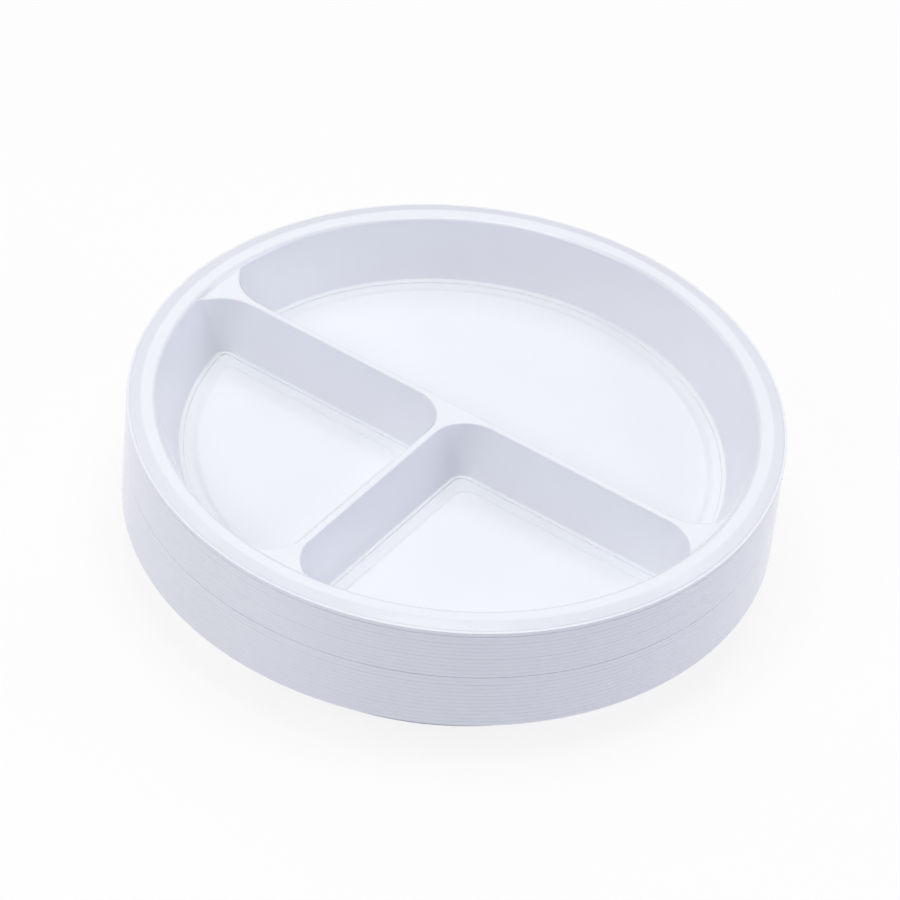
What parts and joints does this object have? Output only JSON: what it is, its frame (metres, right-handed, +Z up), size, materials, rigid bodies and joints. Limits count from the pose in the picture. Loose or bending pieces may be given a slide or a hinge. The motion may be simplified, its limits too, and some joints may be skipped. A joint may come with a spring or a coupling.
{
  "type": "divided compartment plate",
  "caption": "Neat stack of nested round white plastic plates, each divided into a large half compartment and smaller quarter compartments.",
  "frame": {"origin": "centre of the lowest plate's underside, on the surface that the stack stands on", "axes": "+Z up, +X along the long divider, +Y towards the large compartment"},
  "size_m": [0.22, 0.22, 0.0598],
  "materials": {
    "white_plastic": "glossy, thin moulded sheet"
  },
  "bodies": {
    "plate_01": {"plate_01": "white_plastic"},
    "plate_02": {"plate_02": "white_plastic"},
    "plate_03": {"plate_03": "white_plastic"},
    "plate_04": {"plate_04": "white_plastic"},
    "plate_05": {"plate_05": "white_plastic"},
    "plate_06": {"plate_06": "white_plastic"},
    "plate_07": {"plate_07": "white_plastic"},
    "plate_08": {"plate_08": "white_plastic"},
    "plate_09": {"plate_09": "white_plastic"},
    "plate_10": {"plate_10": "white_plastic"},
    "plate_11": {"plate_11": "white_plastic"},
    "plate_12": {"plate_12": "white_plastic"},
    "plate_13": {"plate_13": "white_plastic"},
    "plate_14": {"plate_14": "white_plastic"},
    "plate_15": {"plate_15": "white_plastic"},
    "plate_16": {"plate_16": "white_plastic"},
    "plate_17": {"plate_17": "white_plastic"},
    "plate_18": {"plate_18": "white_plastic"},
    "plate_19": {"plate_19": "white_plastic"},
    "plate_20": {"plate_20": "white_plastic"},
    "plate_21": {"plate_21": "white_plastic"},
    "plate_22": {"plate_22": "white_plastic"},
    "plate_23": {"plate_23": "white_plastic"},
    "plate_24": {"plate_24": "white_plastic"},
    "plate_25": {"plate_25": "white_plastic"}
  },
  "joints": [
    {"name": "lift_02", "type": "slide", "parent": "plate_01", "child": "plate_02", "axis": [0, 0, 1], "range_m": [0, 0.025]},
    {"name": "lift_03", "type": "slide", "parent": "plate_02", "child": "plate_03", "axis": [0, 0, 1], "range_m": [0, 0.025]},
    {"name": "lift_04", "type": "slide", "parent": "plate_03", "child": "plate_04", "axis": [0, 0, 1], "range_m": [0, 0.025]},
    {"name": "lift_05", "type": "slide", "parent": "plate_04", "child": "plate_05", "axis": [0, 0, 1], "range_m": [0, 0.025]},
    {"name": "lift_06", "type": "slide", "parent": "plate_05", "child": "plate_06", "axis": [0, 0, 1], "range_m": [0, 0.025]},
    {"name": "lift_07", "type": "slide", "parent": "plate_06", "child": "plate_07", "axis": [0, 0, 1], "range_m": [0, 0.025]},
    {"name": "lift_08", "type": "slide", "parent": "plate_07", "child": "plate_08", "axis": [0, 0, 1], "range_m": [0, 0.025]},
    {"name": "lift_09", "type": "slide", "parent": "plate_08", "child": "plate_09", "axis": [0, 0, 1], "range_m": [0, 0.025]},
    {"name": "lift_10", "type": "slide", "parent": "plate_09", "child": "plate_10", "axis": [0, 0, 1], "range_m": [0, 0.025]},
    {"name": "lift_11", "type": "slide", "parent": "plate_10", "child": "plate_11", "axis": [0, 0, 1], "range_m": [0, 0.025]},
    {"name": "lift_12", "type": "slide", "parent": "plate_11", "child": "plate_12", "axis": [0, 0, 1], "range_m": [0, 0.025]},
    {"name": "lift_13", "type": "slide", "parent": "plate_12", "child": "plate_13", "axis": [0, 0, 1], "range_m": [0, 0.025]},
    {"name": "lift_14", "type": "slide", "parent": "plate_13", "child": "plate_14", "axis": [0, 0, 1], "range_m": [0, 0.025]},
    {"name": "lift_15", "type": "slide", "parent": "plate_14", "child": "plate_15", "axis": [0, 0, 1], "range_m": [0, 0.025]},
    {"name": "lift_16", "type": "slide", "parent": "plate_15", "child": "plate_16", "axis": [0, 0, 1], "range_m": [0, 0.025]},
    {"name": "lift_17", "type": "slide", "parent": "plate_16", "child": "plate_17", "axis": [0, 0, 1], "range_m": [0, 0.025]},
    {"name": "lift_18", "type": "slide", "parent": "plate_17", "child": "plate_18", "axis": [0, 0, 1], "range_m": [0, 0.025]},
    {"name": "lift_19", "type": "slide", "parent": "plate_18", "child": "plate_19", "axis": [0, 0, 1], "range_m": [0, 0.025]},
    {"name": "lift_20", "type": "slide", "parent": "plate_19", "child": "plate_20", "axis": [0, 0, 1], "range_m": [0, 0.025]},
    {"name": "lift_21", "type": "slide", "parent": "plate_20", "child": "plate_21", "axis": [0, 0, 1], "range_m": [0, 0.025]},
    {"name": "lift_22", "type": "slide", "parent": "plate_21", "child": "plate_22", "axis": [0, 0, 1], "range_m": [0, 0.025]},
    {"name": "lift_23", "type": "slide", "parent": "plate_22", "child": "plate_23", "axis": [0, 0, 1], "range_m": [0, 0.025]},
    {"name": "lift_24", "type": "slide", "parent": "plate_23", "child": "plate_24", "axis": [0, 0, 1], "range_m": [0, 0.025]},
    {"name": "lift_25", "type": "slide", "parent": "plate_24", "child": "plate_25", "axis": [0, 0, 1], "range_m": [0, 0.025]}
  ]
}
